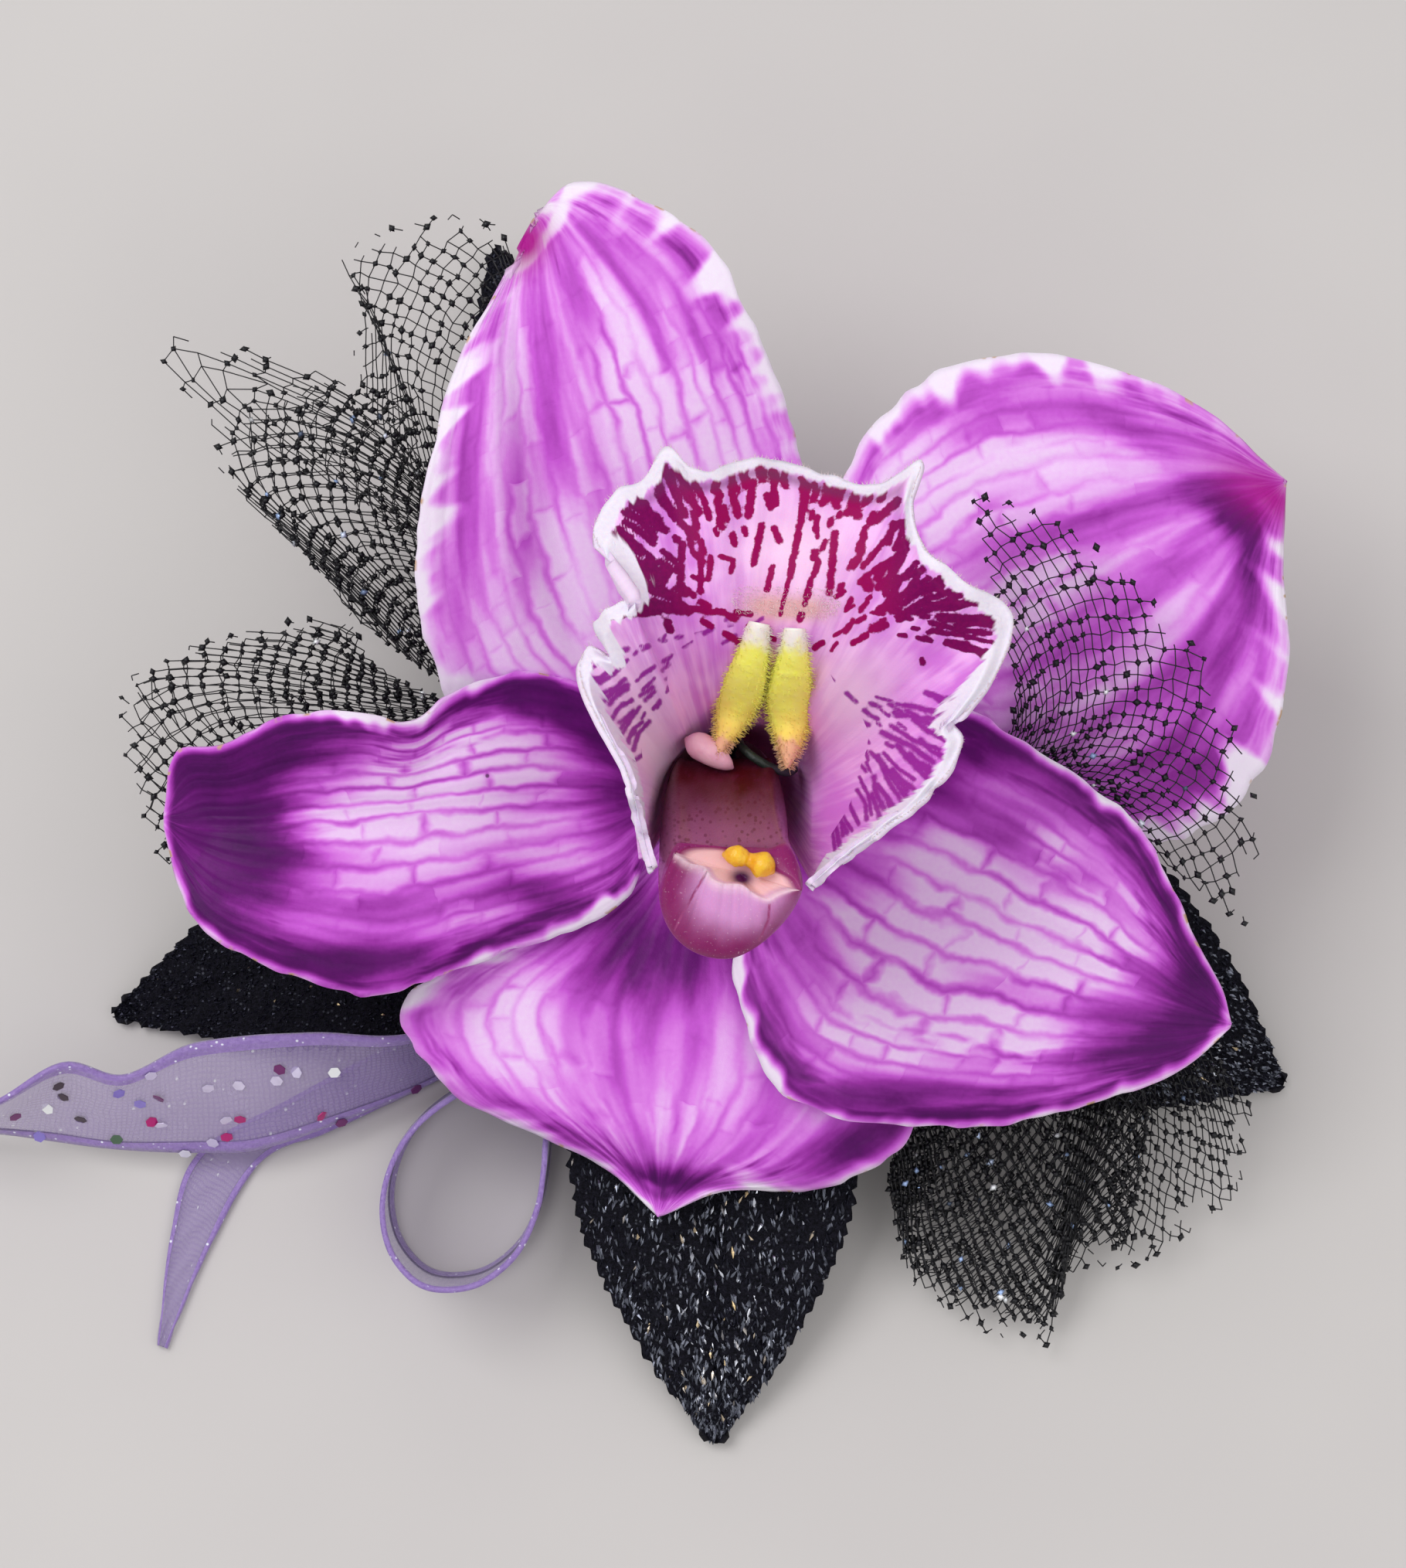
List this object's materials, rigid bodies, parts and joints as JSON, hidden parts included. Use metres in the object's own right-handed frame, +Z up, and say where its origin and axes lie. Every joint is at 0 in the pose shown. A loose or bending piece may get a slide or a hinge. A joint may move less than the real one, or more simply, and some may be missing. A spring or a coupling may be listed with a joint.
{
  "type": "orchid boutonniere",
  "caption": "Cymbidium orchid boutonniere with glitter leaves, net tufts and an organza ribbon, lying on its taped stem.",
  "frame": {"origin": "bottom centre of the bounding box, on the surface that the boutonniere lies on", "axes": "+Z up, the flower's face looks up and leans 15 degrees toward -Y, which is where the taped stem points; +X to the right of the face"},
  "size_m": [0.11, 0.101, 0.0522],
  "materials": {
    "sepal": "soft waxy petal",
    "petal": "soft waxy petal",
    "lip": "velvety petal with crimson blotches",
    "column": "glossy waxy",
    "pollinia": "waxy",
    "ovary": "matt green stalk",
    "stem_tape": "waxed crepe floral tape",
    "wire": "dark green lacquer",
    "glitter_leaf": "black glitter fabric",
    "net": "open black net",
    "ribbon": "sheer lavender organza with sequins"
  },
  "bodies": {
    "root": {"dorsal_sepal": "sepal", "lateral_sepal_left": "sepal", "lateral_sepal_right": "sepal", "petal_left": "petal", "petal_right": "petal", "lip": "lip", "column": "column", "pollinarium": "pollinia", "ovary_pedicel": "ovary", "stem_tape": "stem_tape", "flower_wire": "wire", "leaf_front": "glitter_leaf", "leaf_wire_front": "wire", "leaf_left": "glitter_leaf", "leaf_wire_left": "wire", "leaf_right": "glitter_leaf", "leaf_wire_right": "wire", "leaf_back": "glitter_leaf", "leaf_wire_back": "wire", "net_top": "net", "net_spike": "net", "net_left": "net", "net_lower_left": "net", "net_right": "net", "net_lower_right": "net", "net_light": "net", "ribbon_tie": "ribbon", "ribbon_knot": "ribbon", "ribbon_loop": "ribbon", "ribbon_tail_long": "ribbon", "ribbon_tail_short": "ribbon"}
  },
  "joints": []
}
